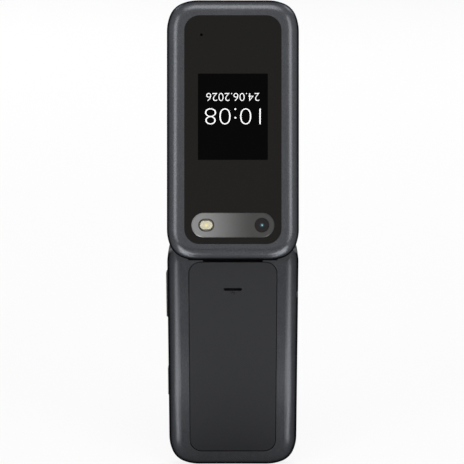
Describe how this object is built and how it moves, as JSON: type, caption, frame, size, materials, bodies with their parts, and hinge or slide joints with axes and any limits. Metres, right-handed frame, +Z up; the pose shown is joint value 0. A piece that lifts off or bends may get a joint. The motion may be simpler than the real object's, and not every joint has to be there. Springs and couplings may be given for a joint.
{
  "type": "flip phone",
  "caption": "Clamshell mobile phone, open, with a number keypad, cover display, camera bar, lift-off battery cover and side keys.",
  "frame": {"origin": "middle of the flat strip on the far end of the base, where the phone would stand on a dock", "axes": "+Z up the base towards the hinge, +Y out of the back of the base, the keypad faces -Y, +X is the side with the volume key"},
  "size_m": [0.0557, 0.0389, 0.1985],
  "materials": {
    "painted_shell": "satin metallic-grey paint",
    "matte_cover": "fine-grained matte",
    "dark_frame": "smooth dark frame",
    "glossy_window": "gloss black window",
    "display_panel": "smooth dark display",
    "metal_bar": "satin",
    "clear_lens": "clear yellowish",
    "black_part": "moulded",
    "key_plastic": "satin",
    "steel_part": "plain",
    "circuit_board": "lacquered",
    "gold_contact": "gold plated",
    "flex_film": "polyimide film",
    "dome_film": "film",
    "silicone": "matte",
    "battery_wrap": "wrapped can"
  },
  "bodies": {
    "base": {"base_housing": "painted_shell", "keypad_bezel": "dark_frame", "main_board": "circuit_board", "dome_sheet": "dome_film", "key_mat": "silicone", "shield_cans": "steel_part", "battery_contacts": "black_part", "card_holders": "steel_part", "usb_socket": "steel_part", "audio_socket": "black_part", "loudspeaker": "black_part", "vibration_motor": "steel_part", "microphone": "black_part", "charge_contacts": "gold_contact", "antenna": "black_part", "base_screws": "steel_part", "hinge_cartridge": "steel_part", "hinge_spring": "steel_part", "hinge_bush": "steel_part", "side_key_flex": "flex_film"},
    "lid": {"lid_cover": "painted_shell", "lid_frame": "dark_frame", "outer_window": "glossy_window", "inner_window": "glossy_window", "main_display": "display_panel", "cover_display": "display_panel", "lid_board": "circuit_board", "camera_plate": "metal_bar", "camera_module": "black_part", "camera_window": "glossy_window", "flash_lens": "clear_lens", "earpiece": "black_part", "earpiece_mesh": "steel_part", "lid_screws": "steel_part", "lid_bumpers": "silicone", "hinge_shaft": "steel_part", "hinge_flex": "flex_film"},
    "battery_cover": {"battery_cover": "matte_cover"},
    "battery": {"battery": "battery_wrap"},
    "key_1": {"key_1": "key_plastic"},
    "key_2": {"key_2": "key_plastic"},
    "key_3": {"key_3": "key_plastic"},
    "key_4": {"key_4": "key_plastic"},
    "key_5": {"key_5": "key_plastic"},
    "key_6": {"key_6": "key_plastic"},
    "key_7": {"key_7": "key_plastic"},
    "key_8": {"key_8": "key_plastic"},
    "key_9": {"key_9": "key_plastic"},
    "key_star": {"key_star": "key_plastic"},
    "key_0": {"key_0": "key_plastic"},
    "key_hash": {"key_hash": "key_plastic"},
    "key_call": {"key_call": "key_plastic"},
    "key_end": {"key_end": "key_plastic"},
    "key_soft_left": {"key_soft_left": "key_plastic"},
    "key_soft_right": {"key_soft_right": "key_plastic"},
    "key_ok": {"key_ok": "key_plastic"},
    "nav_pad": {"nav_pad": "black_part"},
    "nav_ring": {"nav_ring": "key_plastic"},
    "volume_key": {"volume_key": "black_part"},
    "sos_key": {"sos_key": "black_part"}
  },
  "joints": [
    {"name": "lid_hinge", "type": "hinge", "parent": "base", "child": "lid", "pos_m": [0, -0.0005, 0.1005], "axis": [1, 0, 0], "range_deg": [0, 163]},
    {"name": "key_1_press", "type": "slide", "parent": "base", "child": "key_1", "axis": [0, 1, 0], "range_m": [0, 0.0003], "stiffness_N_per_m": 150},
    {"name": "key_2_press", "type": "slide", "parent": "base", "child": "key_2", "axis": [0, 1, 0], "range_m": [0, 0.0003], "stiffness_N_per_m": 150},
    {"name": "key_3_press", "type": "slide", "parent": "base", "child": "key_3", "axis": [0, 1, 0], "range_m": [0, 0.0003], "stiffness_N_per_m": 150},
    {"name": "key_4_press", "type": "slide", "parent": "base", "child": "key_4", "axis": [0, 1, 0], "range_m": [0, 0.0003], "stiffness_N_per_m": 150},
    {"name": "key_5_press", "type": "slide", "parent": "base", "child": "key_5", "axis": [0, 1, 0], "range_m": [0, 0.0003], "stiffness_N_per_m": 150},
    {"name": "key_6_press", "type": "slide", "parent": "base", "child": "key_6", "axis": [0, 1, 0], "range_m": [0, 0.0003], "stiffness_N_per_m": 150},
    {"name": "key_7_press", "type": "slide", "parent": "base", "child": "key_7", "axis": [0, 1, 0], "range_m": [0, 0.0003], "stiffness_N_per_m": 150},
    {"name": "key_8_press", "type": "slide", "parent": "base", "child": "key_8", "axis": [0, 1, 0], "range_m": [0, 0.0003], "stiffness_N_per_m": 150},
    {"name": "key_9_press", "type": "slide", "parent": "base", "child": "key_9", "axis": [0, 1, 0], "range_m": [0, 0.0003], "stiffness_N_per_m": 150},
    {"name": "key_star_press", "type": "slide", "parent": "base", "child": "key_star", "axis": [0, 1, 0], "range_m": [0, 0.0003], "stiffness_N_per_m": 150},
    {"name": "key_0_press", "type": "slide", "parent": "base", "child": "key_0", "axis": [0, 1, 0], "range_m": [0, 0.0003], "stiffness_N_per_m": 150},
    {"name": "key_hash_press", "type": "slide", "parent": "base", "child": "key_hash", "axis": [0, 1, 0], "range_m": [0, 0.0003], "stiffness_N_per_m": 150},
    {"name": "key_call_press", "type": "slide", "parent": "base", "child": "key_call", "axis": [0, 1, 0], "range_m": [0, 0.0003], "stiffness_N_per_m": 150},
    {"name": "key_end_press", "type": "slide", "parent": "base", "child": "key_end", "axis": [0, 1, 0], "range_m": [0, 0.0003], "stiffness_N_per_m": 150},
    {"name": "key_soft_left_press", "type": "slide", "parent": "base", "child": "key_soft_left", "axis": [0, 1, 0], "range_m": [0, 0.0003], "stiffness_N_per_m": 150},
    {"name": "key_soft_right_press", "type": "slide", "parent": "base", "child": "key_soft_right", "axis": [0, 1, 0], "range_m": [0, 0.0003], "stiffness_N_per_m": 150},
    {"name": "key_ok_press", "type": "slide", "parent": "base", "child": "key_ok", "axis": [0, 1, 0], "range_m": [0, 0.0003], "stiffness_N_per_m": 150},
    {"name": "nav_tilt_sideways", "type": "hinge", "parent": "base", "child": "nav_pad", "pos_m": [0, -0.0008, 0.07655], "axis": [0, 0, 1], "range_deg": [-1, 1], "stiffness_Nm_per_rad": 0.02},
    {"name": "nav_tilt_up_down", "type": "hinge", "parent": "nav_pad", "child": "nav_ring", "pos_m": [0, -0.0008, 0.07655], "axis": [1, 0, 0], "range_deg": [-1, 1], "stiffness_Nm_per_rad": 0.02},
    {"name": "volume_rock", "type": "hinge", "parent": "base", "child": "volume_key", "pos_m": [0.02675, 0.0012, 0.07805], "axis": [0, 1, 0], "range_deg": [-2.2, 2.2], "stiffness_Nm_per_rad": 0.05},
    {"name": "sos_press", "type": "slide", "parent": "base", "child": "sos_key", "axis": [-1, 0, 0], "range_m": [0, 0.00025], "stiffness_N_per_m": 300},
    {"name": "cover_lift", "type": "slide", "parent": "base", "child": "battery_cover", "axis": [0, 1, 0], "range_m": [0, 0.02]},
    {"name": "battery_lift", "type": "slide", "parent": "base", "child": "battery", "axis": [0, 1, 0], "range_m": [0, 0.01]}
  ],
  "couplings": [
    {"joint": "battery_lift", "follows": "cover_lift", "ratio": 0.5}
  ]
}
